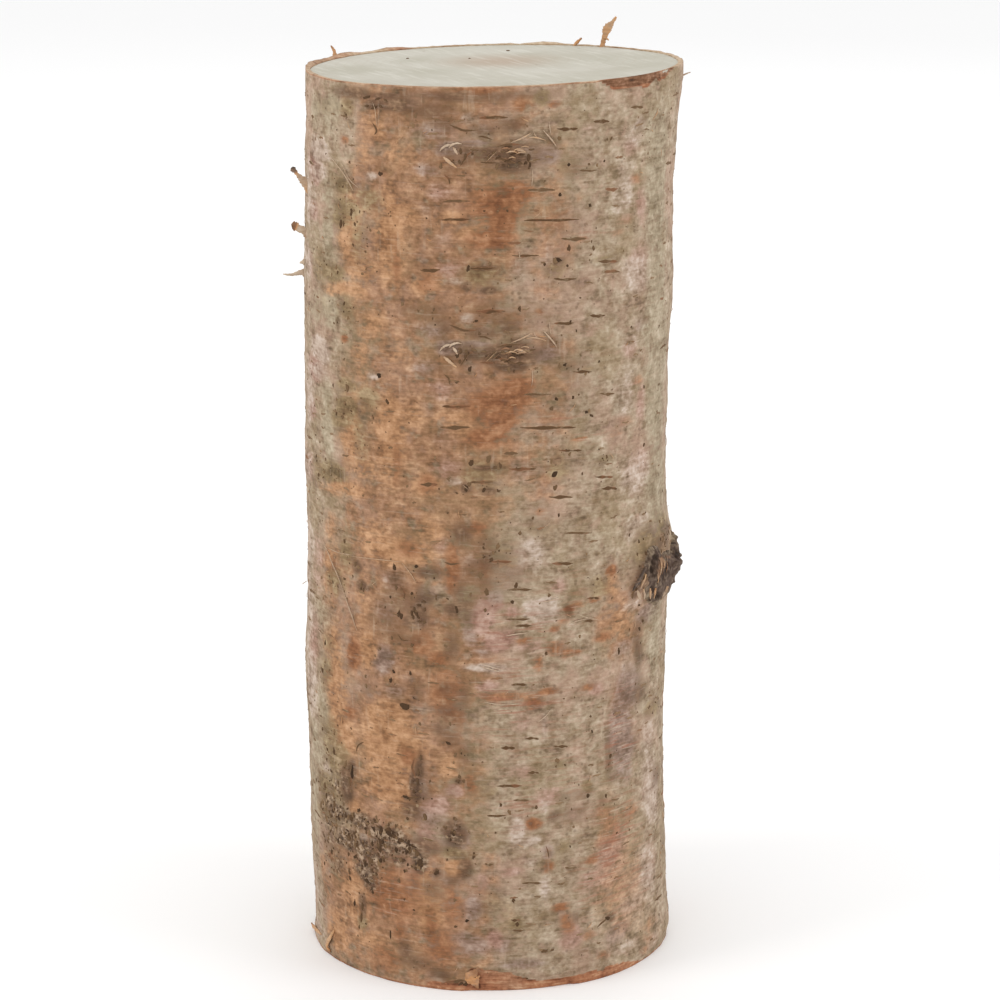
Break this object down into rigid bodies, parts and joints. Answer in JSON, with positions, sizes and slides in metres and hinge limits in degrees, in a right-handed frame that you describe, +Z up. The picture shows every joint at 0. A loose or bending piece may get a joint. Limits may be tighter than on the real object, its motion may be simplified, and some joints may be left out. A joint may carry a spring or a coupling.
{
  "type": "birch log",
  "caption": "Short upright birch log, sawn flat at both ends, with peeling brown bark, a dead branch stub and low branch scars.",
  "frame": {"origin": "centre of the sawn foot, on the surface that the log stands on", "axes": "+Z up along the trunk to the sawn top; -Y is the side with the two branch scars; the branch stub is near +X"},
  "size_m": [0.1105, 0.104, 0.258],
  "materials": {
    "bark": "rough outdoor bark, matt",
    "cut_wood": "fresh sawn wood, matt"
  },
  "bodies": {
    "root": {"log": "bark"}
  },
  "joints": []
}
